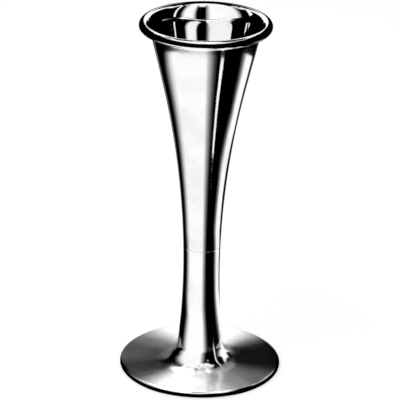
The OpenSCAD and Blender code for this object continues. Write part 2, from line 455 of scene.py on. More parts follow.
def threaded(name, corners, wall_r, first_z, side):
    """A turned piece from the corners of its section, with broken edges and a thread on r = wall_r."""
    section = wall_rows(outline(rounded(corners, EDGE_BREAK)), wall_r)
    return turned(name, section, thread(wall_r, first_z, side))


# %% Nipple and ferrule
nipple_low, nipple_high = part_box("foot_nipple")
ferrule_low, ferrule_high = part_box("bell_ferrule")
washer_low, washer_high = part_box("joint_washer")
NIPPLE_BORE_R = 4.5 * MM
COUNTERSINK = 1.5 * MM
PRESS_R = nipple_high[0]
REGISTER_R = washer_high[0]
SHOULDER_Z = washer_low[2] - SEAT_GAP

nipple_corners = [
    (NIPPLE_BORE_R, nipple_low[2] + COUNTERSINK), (NIPPLE_BORE_R + COUNTERSINK, nipple_low[2]),
    (PRESS_R, nipple_low[2]), (PRESS_R, SHOULDER_Z), (CORE_R, SHOULDER_Z),
    (CORE_R, nipple_high[2]), (NIPPLE_BORE_R, nipple_high[2])]
nipple = threaded("threaded_nipple", nipple_corners, CORE_R, NIPPLE_THREAD_Z, 1)
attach(nipple, "foot")
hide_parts("foot_nipple")

ferrule_corners = [
    (SOCKET_R, ferrule_low[2]), (REGISTER_R, ferrule_low[2]), (REGISTER_R, BELL_Z),
    (PRESS_R, BELL_Z + CORNER), (PRESS_R, ferrule_high[2]), (SOCKET_R, ferrule_high[2])]
ferrule = threaded("threaded_ferrule", ferrule_corners, SOCKET_R, NIPPLE_THREAD_Z + PITCH / 2, -1)
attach(ferrule, "bell")
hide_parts("bell_ferrule")

# %% [markdown]
# ## The washer
# A ring cut from leather: its faces are pressed flat by the joint and its cut edges bulge a little
# and wander, because leather is cut with a punch and then squeezed.

# %% Washer
WASHER_BULGE = 0.06 * MM
WASHER_ROUND = 0.3 * MM


def washer_wander(r, z, a):
    """A slow wander of the cut edges: a sum of three waves round the ring, less at the faces."""
    middle = (washer_high[2] + washer_low[2]) / 2
    half = (washer_high[2] - washer_low[2]) / 2
    swell = 1 - ((z - middle) / half) ** 2
    side = np.where(r > (REGISTER_R + SOCKET_R) / 2, 1.0, -1.0)
    wave = 0.5 + 0.2 * np.sin(3 * a + 1) + 0.2 * np.sin(7 * a + 2) + 0.1 * np.sin(13 * a)
    return side * WASHER_BULGE * swell * wave


washer_corners = [
    (SOCKET_R + WASHER_BULGE, washer_low[2]), (REGISTER_R - WASHER_BULGE, washer_low[2]),
    (REGISTER_R - WASHER_BULGE, washer_high[2]), (SOCKET_R + WASHER_BULGE, washer_high[2])]
washer = turned("leather_washer", outline(rounded(washer_corners, WASHER_ROUND, 8)), washer_wander)
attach(washer, "washer")
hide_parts("joint_washer")

# %% [markdown]
# ## Node helpers
# Materials are built from nodes by name. Short helpers keep each recipe readable: one feeds a node's
# inputs with values or links, one places a node, one starts a material, and the others wrap the nodes
# that are used most.

# %% Node helpers


def feed(tree, node, **inputs):
    """Sets or links a node's inputs, by name or as i0, i1 and on."""
    for key, value in inputs.items():
        by_number = key[0] == "i" and key[1:].isdigit()
        socket = node.inputs[int(key[1:]) if by_number else key.replace("_", " ")]
        if isinstance(value, bpy.types.NodeSocket):
            tree.links.new(value, socket)
        else:
            socket.default_value = value


def put(tree, kind, settings=None, **inputs):
    """A new node with its properties set and its inputs fed."""
    node = tree.nodes.new(kind)
    for key, value in (settings or {}).items():
        setattr(node, key, value)
    feed(tree, node, **inputs)
    return node


def maths(tree, operation, *values):
    """The output of a Math node on values or sockets."""
    numbered = {f"i{n}": value for n, value in enumerate(values)}
    return put(tree, "ShaderNodeMath", {"operation": operation}, **numbered).outputs[0]


def product(tree, first, *others):
    """All the values multiplied."""
    for value in others:
        first = maths(tree, "MULTIPLY", first, value)
    return first


def total(tree, first, *others):
    """All the values added."""
    for value in others:
        first = maths(tree, "ADD", first, value)
    return first


def rest(tree, share):
    """What a share leaves of 1."""
    return maths(tree, "SUBTRACT", 1.0, share)


def ranged(tree, value, from_low, from_high, to_low=0.0, to_high=1.0):
    """A smooth step: to_low below from_low, to_high above from_high."""
    node = put(tree, "ShaderNodeMapRange", {"interpolation_type": "SMOOTHSTEP"}, Value=value,
               From_Min=from_low, From_Max=from_high, To_Min=to_low, To_Max=to_high)
    return node.outputs["Result"]


def blended(tree, share, first, second):
    """A colour mix: the first colour where share is 0, the second where it is 1."""
    return put(tree, "ShaderNodeMix", {"data_type": "RGBA"}, i0=share, i6=first, i7=second).outputs[2]


def either(tree, share, first, second):
    """A mix of shaders: the first where share is 0, the second where it is 1."""
    return put(tree, "ShaderNodeMixShader", i0=share, i1=first, i2=second).outputs[0]


def noise(tree, vector, scale, detail=3.0, roughness=0.5):
    """The factor of a three-dimensional Noise Texture."""
    node = put(tree, "ShaderNodeTexNoise", Vector=vector, Scale=scale, Detail=detail, Roughness=roughness)
    return node.outputs["Fac"]


def attribute(tree, name):
    """The value of a named attribute."""
    return put(tree, "ShaderNodeAttribute", {"attribute_name": name}).outputs["Fac"]


def fresh_material(name):
    """A new material and its node tree, which holds a Principled BSDF."""
    material = bpy.data.materials.new(name)
    material.use_nodes = True
    return material, material.node_tree


# %% [markdown]
# ## Lathe marks
# Spun and turned metal carries its history as lines that run round the axis, with a few longer
# scratches and a drag of polishing that runs along the profile. All three follow the lathe, not the
# world's axes, so the group works in lathe coordinates: how far along the profile, and which way
# round. The way round is the unit vector (x, y)/r, which has no seam where an angle would jump.

# %% Lathe marks group
RING_WANDER = 0.6
SCRATCH_WANDER = 2.2
SCRATCH_SCALE = 2.5
SCRATCH_HALF = 0.012
DRAG_STREAKS = 26.0
DRAG_RUN = 0.03
HANDLING_SCALE = 55.0
HANDLING_SPREAD = (0.42, 0.68)
LEAST_R = 0.1 * MM


def lathe_marks_group():
    """Node group: rings, scratches, polishing drag and handling marks by place, each 0 to 1."""
    group = bpy.data.node_groups.new("lathe_marks", "ShaderNodeTree")
    for socket, value in (("Rings per mm", 3.0), ("Scratches per mm", 0.5)):
        made = group.interface.new_socket(socket, in_out="INPUT", socket_type="NodeSocketFloat")
        made.default_value = value
    for socket in ("Rings", "Scratches", "Drag", "Handling"):
        group.interface.new_socket(socket, in_out="OUTPUT", socket_type="NodeSocketFloat")
    given = put(group, "NodeGroupInput").outputs
    place = put(group, "ShaderNodeTexCoord").outputs["Object"]
    axes = put(group, "ShaderNodeSeparateXYZ", Vector=place)
    x, y, z = (axes.outputs[name] for name in "XYZ")
    squares = total(group, product(group, x, x), product(group, y, y))
    radius = maths(group, "MAXIMUM", maths(group, "SQRT", squares), LEAST_R)
    along = product(group, total(group, z, radius), 1 / MM)
    round_x = maths(group, "DIVIDE", x, radius)
    round_y = maths(group, "DIVIDE", y, radius)

    def lathe_vector(turn_scale, along_scale):
        """The unit vector round the axis and the way along the profile, each on its own scale."""
        return put(group, "ShaderNodeCombineXYZ", X=product(group, round_x, turn_scale),
                   Y=product(group, round_y, turn_scale), Z=product(group, along, along_scale)).outputs[0]

    rings = noise(group, lathe_vector(RING_WANDER, given["Rings per mm"]), 1.0, detail=2.0, roughness=0.5)
    scratch_vector = lathe_vector(SCRATCH_WANDER, given["Scratches per mm"])
    scratch_field = noise(group, scratch_vector, SCRATCH_SCALE, detail=2.0, roughness=0.4)
    from_middle = maths(group, "ABSOLUTE", maths(group, "SUBTRACT", scratch_field, 0.5))
    scratches = ranged(group, from_middle, 0.0, SCRATCH_HALF, 1.0, 0.0)
    drag = noise(group, lathe_vector(DRAG_STREAKS, DRAG_RUN), 1.0, detail=3.0, roughness=0.6)
    touched = noise(group, place, HANDLING_SCALE, detail=4.0, roughness=0.6)
    handling = ranged(group, touched, *HANDLING_SPREAD)
    put(group, "NodeGroupOutput", Rings=rings, Scratches=scratches, Drag=drag, Handling=handling)
    return group


lathe_marks = lathe_marks_group()
print("lathe_marks group with", len(lathe_marks.nodes), "nodes")

# %% [markdown]
# ## Values kept on the points
# Polish survives where a hand and cloth reach, and edges are rubbed bright. Seams and hollows are
# darkened: partly grime, and partly painted shade, as in the crevice under the rolled bead. Wear and this
# grime and shade depend on the place along the profile, so each is a sum of bell-shaped bumps round named
# places. Two more values come from the way the surface faces: the flat face of the disc, which keeps
# the lathe's rings, and the bores, which are polished inside. The materials read all four as attributes.

# %% Values on the points
FACE_TILT = (0.75, 0.98)
FACE_Z = (6 * MM, 12 * MM)
BORE_TILT = -0.1
RIM_TOP_ANGLE = 80
SEAM_ANGLE = 12
LOW_FACE_Z = 0.3 * MM
FIRST_CREST = 1.5 * MM
GROOVE_W = 1.2 * MM


def surface(piece):
    """The places and the normals of a piece's points, as arrays of three columns."""
    places = np.empty(len(piece.data.vertices) * 3)
    normals = np.empty(len(piece.data.vertices) * 3)
    piece.data.vertices.foreach_get("co", places)
    piece.data.vertex_normals.foreach_get("vector", normals)
    return places.reshape(-1, 3), normals.reshape(-1, 3)


def smooth_step(values, low, high):
    """0 below low, 1 above high, and 3t^2 - 2t^3 between, where t is the share of the way."""
    t = np.clip((values - low) / (high - low), 0, 1)
    return t * t * (3 - 2 * t)


def near(piece, spots, reach):
    """For each point: the sum of exp(-(d/reach)^2) over spots (r, z), at most 1, with d in the section."""
    places, _ = surface(piece)
    section = np.column_stack((np.hypot(places[:, 0], places[:, 1]), places[:, 2]))
    spots = np.asarray(spots, float)
    apart = np.linalg.norm(section[:, None, :] - spots[None, :, :], axis=2)
    return np.minimum(np.exp(-(apart / reach) ** 2).sum(axis=1), 1)


def mark(piece, name, values):
    """Stores one value a point as a named attribute."""
    layer = piece.data.attributes.new(name, "FLOAT", "POINT")
    layer.data.foreach_set("value", np.asarray(values, np.float32))
    print(piece.name, name, "mean", round(float(np.mean(values)), 3))


def bore(piece):
    """1 where the surface faces the axis by more than a few degrees, from the radial part of its normal."""
    places, normals = surface(piece)
    outward = np.sum(places[:, :2] * normals[:, :2], axis=1) / np.linalg.norm(places[:, :2], axis=1)
    return (outward < BORE_TILT).astype(float)


def flat_face(piece):
    """1 where the surface lies flat and low, as on the disc: smooth steps of the upright normal and of z."""
    places, normals = surface(piece)
    return smooth_step(np.abs(normals[:, 2]), *FACE_TILT) * (1 - smooth_step(places[:, 2], *FACE_Z))


for piece in (bell, foot, ear_plate, nipple, ferrule):
    mark(piece, "bore", bore(piece))
    mark(piece, "face", flat_face(piece))

rim_top = polar(RIM_C, BEAD_R, RIM_TOP_ANGLE)
curl_seam = polar(RIM_C, BEAD_R, curl_tip_angle() + SEAM_ANGLE)
# Each row holds a piece, how far its marks reach in millimetres, and the places (r, z) they lie at
rubbed = [
    (bell, 1.0, [rim_top, (WAIST_R, BELL_Z)]),
    (foot, 1.0, [(EAR_R, EDGE_H * 0.6), (WAIST_R, JOINT_Z)]),
    (ear_plate, 1.2, [(HOLE_R + COLLAR_BEND_R, LOW_FACE_Z)]),
    (nipple, 0.8, [(CORE_R, nipple_high[2]), (THREAD_R, nipple_high[2] - FIRST_CREST)]),
    (ferrule, 0.5, [(REGISTER_R, ferrule_low[2])])]
# These spots darken seams and hollows toward the tarnish colour: partly grime, partly painted shade where
# shade falls, as under the rolled bead
grime_and_shade_spots = [
    (bell, 0.9, [curl_seam, (NECK_R, FERRULE_TOP)]),
    (foot, 0.9, [(HEM_TIP_R, 0), (HEM_TIP_R, WALL)]),
    (ear_plate, 0.8, [(HEM_TIP_R, PLATE_RIM_Z), (HEM_TIP_R - GROOVE_W, LOW_FACE_Z)]),
    (nipple, 0.9, [(CORE_R, SHOULDER_Z)]),
    (ferrule, 1.5, [(SOCKET_R, ferrule_high[2])])]
for name, table in (("wear", rubbed), ("grime_and_shade", grime_and_shade_spots)):
    for piece, reach, spots in table:
        mark(piece, name, near(piece, spots, reach * MM))

# %% [markdown]
# ## Turned metals
# One recipe serves the bell and foot, the ear plate and the brass. The colour changes little, because
# clean metal gets its look from what it reflects. Roughness does the work: polished on the stem and
# bell, satin on the flat face of the disc where the lathe's rings stay. The rings also stretch each
# reflection across them, which is what anisotropy is for. The tangent runs round z, and a quarter turn
# of it makes the stretch run along the profile.

# %% Turned metals
STAIN = 0.3
BORE_POLISH = 0.35
DULL_ROUGH = 0.02
SCRATCH_ROUGH = 0.03
GRIME_ROUGH = 0.3
RING_DEPTH = 0.0012 * MM
RING_SHARE = (0.15, 1.0)
DRAG_DEPTH = 0.012 * MM
DRAG_SHARE = (1.0, 0.1)
QUARTER_TURN = 0.25


def turned_metal(name, colour, tarnish_and_shade, polish, satin, anisotropy, rings=1.2):
    """A metal with its grain round z: colour to tarnish by handling, grime and painted shade, roughness
    polish to satin.
    """
    material, tree = fresh_material(name)
    marks = put(tree, "ShaderNodeGroup", {"node_tree": lathe_marks}, Rings_per_mm=rings).outputs
    wear, grime_and_shade, face, inside = (attribute(tree, kept) for kept in ("wear", "grime_and_shade", "face", "bore"))
    outside = rest(tree, inside)
    dull = product(tree, marks["Handling"], rest(tree, wear))
    # The colour darkens toward the tarnish colour by real handling stains, and by the seam marks, which are
    # partly painted shade
    stain_and_shade = maths(tree, "MAXIMUM", product(tree, dull, STAIN), grime_and_shade)
    base = product(tree, ranged(tree, face, 0.0, 1.0, polish, satin),
                   ranged(tree, inside, 0.0, 1.0, 1.0, BORE_POLISH))
    rough = total(tree, base, product(tree, dull, DULL_ROUGH),
                  product(tree, marks["Scratches"], SCRATCH_ROUGH), product(tree, grime_and_shade, GRIME_ROUGH))
    ring_share = ranged(tree, face, 0.0, 1.0, *RING_SHARE)
    drag_share = ranged(tree, face, 0.0, 1.0, *DRAG_SHARE)
    height = total(tree, product(tree, marks["Rings"], ring_share, outside, RING_DEPTH),
                   product(tree, marks["Drag"], drag_share, outside, DRAG_DEPTH))
    bump = put(tree, "ShaderNodeBump", Height=height, Distance=1.0, Strength=1.0)
    tangent = put(tree, "ShaderNodeTangent", {"direction_type": "RADIAL", "axis": "Z"})
    feed(tree, tree.nodes["Principled BSDF"], Roughness=rough, Metallic=1.0,
         Base_Color=blended(tree, stain_and_shade, (*colour, 1), (*tarnish_and_shade, 1)),
         Normal=bump.outputs[0], Tangent=tangent.outputs[0],
         Anisotropic=anisotropy, Anisotropic_Rotation=QUARTER_TURN)
    print(name, len(tree.nodes), "nodes")
    return material


spun_aluminium = turned_metal("spun_aluminium", (0.93, 0.93, 0.935), (0.62, 0.61, 0.60),
                              polish=0.04, satin=0.22, anisotropy=1.0)
plate_aluminium = turned_metal("plate_aluminium", (0.88, 0.88, 0.885), (0.55, 0.54, 0.53),
                               polish=0.22, satin=0.34, anisotropy=0.75)
turned_brass = turned_metal("turned_brass", (0.82, 0.62, 0.30), (0.34, 0.22, 0.10),
                            polish=0.2, satin=0.2, anisotropy=0.6, rings=6.0)
for piece, material in ((bell, spun_aluminium), (foot, spun_aluminium), (ear_plate, plate_aluminium),
                        (nipple, turned_brass), (ferrule, turned_brass)):
    piece.data.materials.append(material)

# %% [markdown]
# ## Leather and wire
# The washer is oiled leather: a pebbled grain on its faces, pale fibres on the cut edge, and dark
# patches where oil has soaked in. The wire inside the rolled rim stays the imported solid, because it is
# shut in on all sides. It still gets the look of drawn steel, for a view through a cut.

# %% Leather and wire
CUT_TILT = (0.35, 0.8)
GRAIN_SCALE = 4200.0
GRAIN_EDGE = 0.18
FIBRE_SCALE = 9000.0
FIBRE_STRETCH = (1.0, 1.0, 0.25)
OIL_SCALE = 420.0
OIL_SPREAD = (0.4, 0.65)
OIL_SHARE = 0.6
LEATHER_ROUGH = (0.72, 0.5)
LEATHER_RELIEF = 0.03 * MM
HIDE = ((0.055, 0.026, 0.012, 1), (0.19, 0.095, 0.045, 1))
CUT_EDGE = ((0.16, 0.085, 0.04, 1), (0.42, 0.27, 0.15, 1))
OILED = (0.07, 0.035, 0.018, 1)
STEEL = (0.5, 0.5, 0.51, 1)
RUST = (0.2, 0.11, 0.06, 1)
RUST_SPREAD = (0.7, 1.0)
DIE_LINES = 9.0
DIE_SPREAD = (0.3, 0.7)
STEEL_ROUGH = (0.28, 0.5)


def oiled_leather():
    """Leather on three scales: oil patches, pebbled grain from Voronoi cells, fine fibres on the cut edge."""
    material, tree = fresh_material("oiled_leather")
    place = put(tree, "ShaderNodeTexCoord").outputs["Object"]
    cells = put(tree, "ShaderNodeTexVoronoi", {"feature": "DISTANCE_TO_EDGE"}, Vector=place,
                Scale=GRAIN_SCALE)
    grain = ranged(tree, cells.outputs["Distance"], 0.0, GRAIN_EDGE)
    stretched = put(tree, "ShaderNodeVectorMath", {"operation": "MULTIPLY"}, i0=place, i1=FIBRE_STRETCH)
    fibre = noise(tree, stretched.outputs[0], FIBRE_SCALE, roughness=0.7)
    oil = ranged(tree, noise(tree, place, OIL_SCALE, detail=4.0), *OIL_SPREAD)
    mixed = blended(tree, attribute(tree, "cut"), blended(tree, grain, *HIDE),
                    blended(tree, fibre, *CUT_EDGE))
    height = product(tree, total(tree, grain, fibre), LEATHER_RELIEF)
    bump = put(tree, "ShaderNodeBump", Height=height, Distance=1.0, Strength=1.0)
    feed(tree, tree.nodes["Principled BSDF"], Normal=bump.outputs[0],
         Base_Color=blended(tree, product(tree, oil, OIL_SHARE), mixed, OILED),
         Roughness=ranged(tree, oil, 0.0, 1.0, *LEATHER_ROUGH))
    return material


def drawn_steel():
    """Steel with die lines that run along the wire, and brown specks of rust."""
    material, tree = fresh_material("drawn_steel")
    marks = put(tree, "ShaderNodeGroup", {"node_tree": lathe_marks}, Rings_per_mm=DIE_LINES).outputs
    rust = ranged(tree, marks["Handling"], *RUST_SPREAD)
    feed(tree, tree.nodes["Principled BSDF"], Metallic=1.0, Base_Color=blended(tree, rust, STEEL, RUST),
         Roughness=ranged(tree, marks["Rings"], *DIE_SPREAD, *STEEL_ROUGH))
    return material


mark(washer, "cut", 1 - smooth_step(np.abs(surface(washer)[1][:, 2]), *CUT_TILT))
washer.data.materials.append(oiled_leather())
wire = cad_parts["rim_wire"]
wire.data.materials.clear()
wire.data.materials.append(drawn_steel())
print("rim_wire keeps its solid, with", wire.data.materials[0].name)

# %% [markdown]
# ## The room the metal mirrors
# Polished metal has hardly a colour of its own: it shows the room. So the light and dark bands on the
# horn are things in a studio. The bands could be painted on the metal, but then they would turn with
# the horn, and they would look wrong from any other side. Here the room is black, with a white ceiling
# that comes lowest and brightest behind the horn, and a white table far below.
#
# Azimuth counts from the camera's side, positive to the right. Elevation counts from the horizon. Each
# list of stops gives a value at a few azimuths, and the value runs straight between them.

# %% Room
WHITE = 1.06
CEILING = [(-180, 37), (-160, 44), (-145, 60), (-110, 60), (-90, 55), (45, 55), (65, 60), (90, 60),
           (105, 74), (145, 74), (162, 46), (180, 37)]
CEILING_SOFT = 4
BACK_LIGHT = [(-180, 5.5), (-165, 5.5), (-145, 1), (145, 1), (165, 5.5), (180, 5.5)]
BACK_FULL = 6.0
ZENITH = 90.0
TABLE = (-66, -60)


def azimuth_ramp(tree, azimuth, stops, full=1.0):
    """A value by azimuth: a colour ramp from -180 to 180 degrees, with stops of (degrees, value)."""
    node = put(tree, "ShaderNodeValToRGB", Fac=total(tree, maths(tree, "DIVIDE", azimuth, 360.0), 0.5))
    for _ in range(len(stops) - 2):
        node.color_ramp.elements.new(0.5)
    for element, (degrees, value) in zip(node.color_ramp.elements, stops):
        element.position = degrees / 360 + 0.5
        element.color = (value / full, value / full, value / full, 1)
    return product(tree, node.outputs["Color"], full)


def window(tree, value, low, high, soft):
    """1 between low and high, falling to 0 over soft on either side."""
    return product(tree, ranged(tree, value, low - soft, low),
                   ranged(tree, value, high, high + soft, 1.0, 0.0))


def room_light(tree, azimuth, elevation):
    """What a first bounce sees: the ceiling, brightest behind, and the table."""
    above = maths(tree, "SUBTRACT", elevation, azimuth_ramp(tree, azimuth, CEILING, ZENITH))
    brightness = azimuth_ramp(tree, azimuth, BACK_LIGHT, BACK_FULL)
    ceiling = product(tree, ranged(tree, above, -CEILING_SOFT, CEILING_SOFT), brightness)
    return maths(tree, "MAXIMUM", ceiling, ranged(tree, elevation, *TABLE, 1.0, 0.0))


# %% [markdown]
# ## What deeper bounces see
# Inside the bell, metal mirrors metal. A second bounce sees the room through a much stronger lens, so
# it gets bands of its own: two broad ones that make the white panels, two slits low down that make the
# thin lines beside them, and a window high in front that carries the panels across the lip. Straight
# above, at the left, the crown is dark, which keeps the gap between the panels black. Later bounces see
# a white ceiling above, and that lights the throat in a view from the top.

# %% Deeper bounces
DEEP_BANDS = [(-180, 0), (-140, 0), (-130, 1), (-96, 1), (-82, 0), (14, 0), (30, 0.15), (46, 0.6),
              (56, 1), (158, 1), (172, 0.2), (180, 0)]
DEEP_RISE = (25.5, 28)
DEEP_SLITS = [(-35, -29, 30), (-20, -13, 19)]
DEEP_SLIT_SOFT = 1.0
DEEP_SLIT_FADE = 2
DEEP_FRONT = (-30, 35)
DEEP_FRONT_SOFT = 6.0
DEEP_FRONT_RISE = (60, 68)
DEEP_FRONT_LIGHT = 1.6
DEEP_CROWN = (79, 82)
DEEP_CROWN_SIDE = (2, 8)
LATE_RISE = (52, 75)


def deep_light(tree, azimuth, elevation):
    """What a second bounce sees: bands, slits of (left, right, top), a front window, less the dark crown."""
    light = product(tree, azimuth_ramp(tree, azimuth, DEEP_BANDS), ranged(tree, elevation, *DEEP_RISE))
    for left, right, top in DEEP_SLITS:
        slit = product(tree, window(tree, azimuth, left, right, DEEP_SLIT_SOFT),
                       ranged(tree, elevation, top, top + DEEP_SLIT_FADE, 1.0, 0.0))
        light = maths(tree, "MAXIMUM", light, slit)
    front = product(tree, window(tree, azimuth, *DEEP_FRONT, DEEP_FRONT_SOFT),
                    ranged(tree, elevation, *DEEP_FRONT_RISE, 0.0, DEEP_FRONT_LIGHT))
    crown = product(tree, ranged(tree, azimuth, *DEEP_CROWN_SIDE, 1.0, 0.0),
                    ranged(tree, elevation, *DEEP_CROWN))
    return product(tree, maths(tree, "MAXIMUM", light, front), rest(tree, crown))


# %% [markdown]
# ## The world
# The world sorts rays by what they are. Mirror rays see the room, by how often they have bounced. Paper
# and leather get an even white light, which shows their colours about as they are written. The camera
# itself sees a white page.

# %% World
EVEN_LIGHT = 0.55
PAST_FIRST = 1.5
PAST_SECOND = 2.5


def studio_world():
    """World with the room for mirror rays, by their bounce, an even white for others, and a white page."""
    world = bpy.data.worlds.new("studio")
    world.use_nodes = True
    world.cycles.sampling_method = "NONE"
    tree = world.node_tree
    tree.nodes.clear()
    ways = put(tree, "ShaderNodeTexCoord").outputs["Generated"]
    axes = put(tree, "ShaderNodeSeparateXYZ", Vector=ways).outputs
    azimuth = maths(tree, "DEGREES", maths(tree, "ARCTAN2", axes["X"], product(tree, axes["Y"], -1.0)))
    elevation = maths(tree, "DEGREES", maths(tree, "ARCSINE", axes["Z"]))
    path = put(tree, "ShaderNodeLightPath").outputs
    second = maths(tree, "GREATER_THAN", path["Glossy Depth"], PAST_FIRST)
    later = maths(tree, "GREATER_THAN", path["Glossy Depth"], PAST_SECOND)
    mirror = blended(tree, second, room_light(tree, azimuth, elevation), deep_light(tree, azimuth, elevation))
    mirror = blended(tree, later, mirror, ranged(tree, elevation, *LATE_RISE))

    def background(strength, colour=(1, 1, 1, 1)):
        return put(tree, "ShaderNodeBackground", Strength=strength, Color=colour).outputs[0]

    seen = either(tree, path["Is Camera Ray"], background(EVEN_LIGHT), background(1.0))
    sorted_rays = either(tree, path["Is Glossy Ray"], seen, background(WHITE, mirror))
    put(tree, "ShaderNodeOutputWorld", Surface=sorted_rays)
    return world


scene.world = studio_world()
print("studio world with", len(scene.world.node_tree.nodes), "nodes")

# %% [markdown]
# ## What a card is
# A photographer of metal stands white and black cards round it, just out of frame. Only mirror rays
# meet the cards here, so they leave no shadow and no shape of their own. A card's brightness is a value
# on its points, which makes soft edges easy.
#
# Some cards must not show everywhere. A photographer would hide them from part of the object with
# another card. Here the paint does it: a card can answer one bounce only, and only rays of a certain
# length, and is clear to all others. A card can also be clear from its back, so that rays that rise to
# it see it and rays that fall on it don't. No two cards lie in one place, because a ray that passes
# through one would miss the other.

# %% Card helpers
CARD_STEP = 0.5
CARD_COLUMNS = 240
CARD_R = 75 * MM
CARD_GAP = 1 * MM


def card_paint(name, bounce=None, nearest=0.0, farthest=1.0, others=False, one_sided=False):
    """Light as bright as the card's own value.

    With a bounce number it answers that bounce for rays of a length between the two, and no other bounce,
    unless others is true. A one-sided card is then clear from its back."""
    material, tree = fresh_material(name)
    tree.nodes.clear()
    strength = product(tree, attribute(tree, "light"), WHITE)
    glow = put(tree, "ShaderNodeEmission", Color=(1, 1, 1, 1), Strength=strength).outputs[0]
    if bounce:
        path = put(tree, "ShaderNodeLightPath").outputs
        right_bounce = maths(tree, "COMPARE", path["Glossy Depth"], bounce, 0.1)
        shown = product(tree, right_bounce, maths(tree, "GREATER_THAN", path["Ray Length"], nearest),
                        maths(tree, "LESS_THAN", path["Ray Length"], farthest))
        if others:
            shown = maths(tree, "MAXIMUM", shown, rest(tree, right_bounce))
        if one_sided:
            shown = product(tree, shown, rest(tree, put(tree, "ShaderNodeNewGeometry").outputs["Backfacing"]))
        glow = either(tree, shown, put(tree, "ShaderNodeBsdfTransparent").outputs[0], glow)
    put(tree, "ShaderNodeOutputMaterial", Surface=glow)
    return material


def card(name, rows, light, paint):
    """One stage object from rows of points, with a brightness a column, met by mirror rays only."""
    count = len(light)
    corner = (np.arange(len(rows) - 1)[:, None] * count + np.arange(count - 1)).ravel()
    faces = np.column_stack((corner, corner + 1, corner + count + 1, corner + count))
    mesh = bpy.data.meshes.new(name)
    mesh.from_pydata(np.concatenate(rows), [], faces)
    mesh.materials.append(paint)
    layer = mesh.attributes.new("light", "FLOAT", "POINT")
    layer.data.foreach_set("value", np.tile(light, len(rows)).astype(np.float32))
    made = placed(name, mesh)
    for ray in ("camera", "diffuse", "shadow", "transmission", "volume_scatter"):
        setattr(made, "visible_" + ray, False)
    print(name, len(rows), "rows of", count)


def ring(a, r, height):
    """Points x = R sin a, y = -R cos a, with a in degrees.

    The height is one for all, in metres, or runs straight between stops of (degrees, millimetres)."""
    turn = np.radians(a)
    if np.isscalar(height):
        z = np.full(len(a), height)
    else:
        degrees, millimetres = np.array(height, float).T
        z = np.interp(a, degrees, millimetres * MM)
    return np.column_stack((r * np.sin(turn), -r * np.cos(turn), z))


def round_card(name, stops, low, high, paint, low_r, high_r=None):
    """A card on circles round z, from a low edge to a high one.

    The stops of (degrees, light) give its brightness. With a high_r of its own the card leans."""
    degrees, light = np.array(stops, float).T
    a = np.arange(degrees[0], degrees[-1] + CARD_STEP / 2, CARD_STEP)
    card(name, (ring(a, low_r, low), ring(a, high_r or low_r, high)), np.interp(a, degrees, light), paint)


def shaped_card(name, profile, sides, paint, top=None):
    """A card round z whose left and right sides change from row to row.

    Each row of sides holds (height, left, right) on R = CARD_R, or on a radius of its own as a fourth
    number, in millimetres and degrees. The azimuth is left + share (right - left), and the profile of
    (share, light) gives the brightness. A top edge, where there is one, takes the place of the last row's
    height."""
    share, light = np.array(profile, float).T
    u = np.linspace(0, 1, CARD_COLUMNS)
    rows = []
    for height, left, right, *radius in sides:
        a = left + u * (right - left)
        r = radius[0] * MM if radius else CARD_R
        rows.append(ring(a, r, height * MM))
    if top:
        rows[-1] = ring(a, r, top)
    card(name, rows, np.interp(u, share, light), paint)


def flat_card(name, stops, y, z, depth, paint):
    """A flat card, in millimetres: an edge along x at y and z, and one that lies a depth away from it.

    The stops of (x, light) give its brightness."""
    x, light = np.array(stops, float).T
    edge = np.column_stack((x, np.full(len(x), y), np.full(len(x), z))) * MM
    card(name, (edge, edge + np.array(depth) * MM), light, paint)


def mirrored(stops):
    """The same stops on the other side of the camera's line."""
    return [(-degrees, value) for degrees, value in reversed(stops)]


# %% [markdown]
# ## Cards round the stem
# One wide card wraps the left front, a strip stands at the right, and a narrow strip between them draws
# the streak on the bell. Their sides change with the height, so the dark bands between them keep an even
# width where the horn widens. Their top edge lies well below the rim, so the top of the bell mirrors
# the dark room above them. Behind the horn lies a white board that rises away from it.
#
# The sweep of the foot mirrors nearly the whole room, so it would show the right strip twice. The lower
# half of the strip answers long rays only and the upper half short ones, which leaves the sweep one
# image. Two narrow cards draw the streak on the sweep: one stands just inside the strip, and the other
# lies flat above the disc. A dark shade beside the flat one keeps the sweep black at the right of the
# streak. The outer halves of these lids answer longer rays only, so that the disc's edge looks past them.

# %% Stem cards
CARD_LOW = -15 * MM
CARD_TOP = [(-131, 117.5), (-77, 111.5), (-40, 107.6), (0, 106), (40, 107.6), (77, 111.5), (131, 117.5)]
FRONT_LIGHT = [(0, 0), (0.05, 0.05), (0.11, 0.25), (0.18, 0.65), (0.27, 1), (0.82, 1), (0.87, 0.5),
               (0.92, 0.22), (0.96, 0.05), (1, 0)]
FRONT_SIDES = [(-15, -102, 38), (-4, -98, 38), (2, -92, 34), (8, -106, 28), (27, -108, 27), (33, -115, 27),
               (60, -116, 27), (105, -112, 26), (117, -102, 16)]
RIGHT_LIGHT = [(0, 0), (0.1, 0.05), (0.2, 0.2), (0.31, 0.6), (0.42, 1), (0.86, 1), (0.94, 0.2), (1, 0)]
RIGHT_LOW = [(-15, 102, 172), (-8, 101, 170), (-3, 91, 166), (2, 86, 151), (8, 80, 140), (27, 74, 137),
             (33, 64, 127), (50, 69, 124)]
RIGHT_HIGH = [(50, 69, 124), (58, 68, 126), (66, 74, 129), (73, 79, 131), (81, 85, 136), (100, 83, 134),
              (117, 80, 132)]
STREAK_CARD = [(33, 0), (34, 1), (39.5, 1), (40.5, 0)]
STREAK_Z = (58 * MM, 104 * MM)
REAR_CARD = [(148, 0), (160, 0.1), (166, 0.15), (173, 1), (190, 1), (200, 0.15), (206, 0.1), (216, 0)]
REAR_R = (85 * MM, 270 * MM)
REAR_TOP = 45 * MM
SWEEP_RAY = 66 * MM
STEM_RAY = 85 * MM
SLIT_LIGHT = [(0, 0), (0.15, 1), (0.85, 1), (1, 0)]
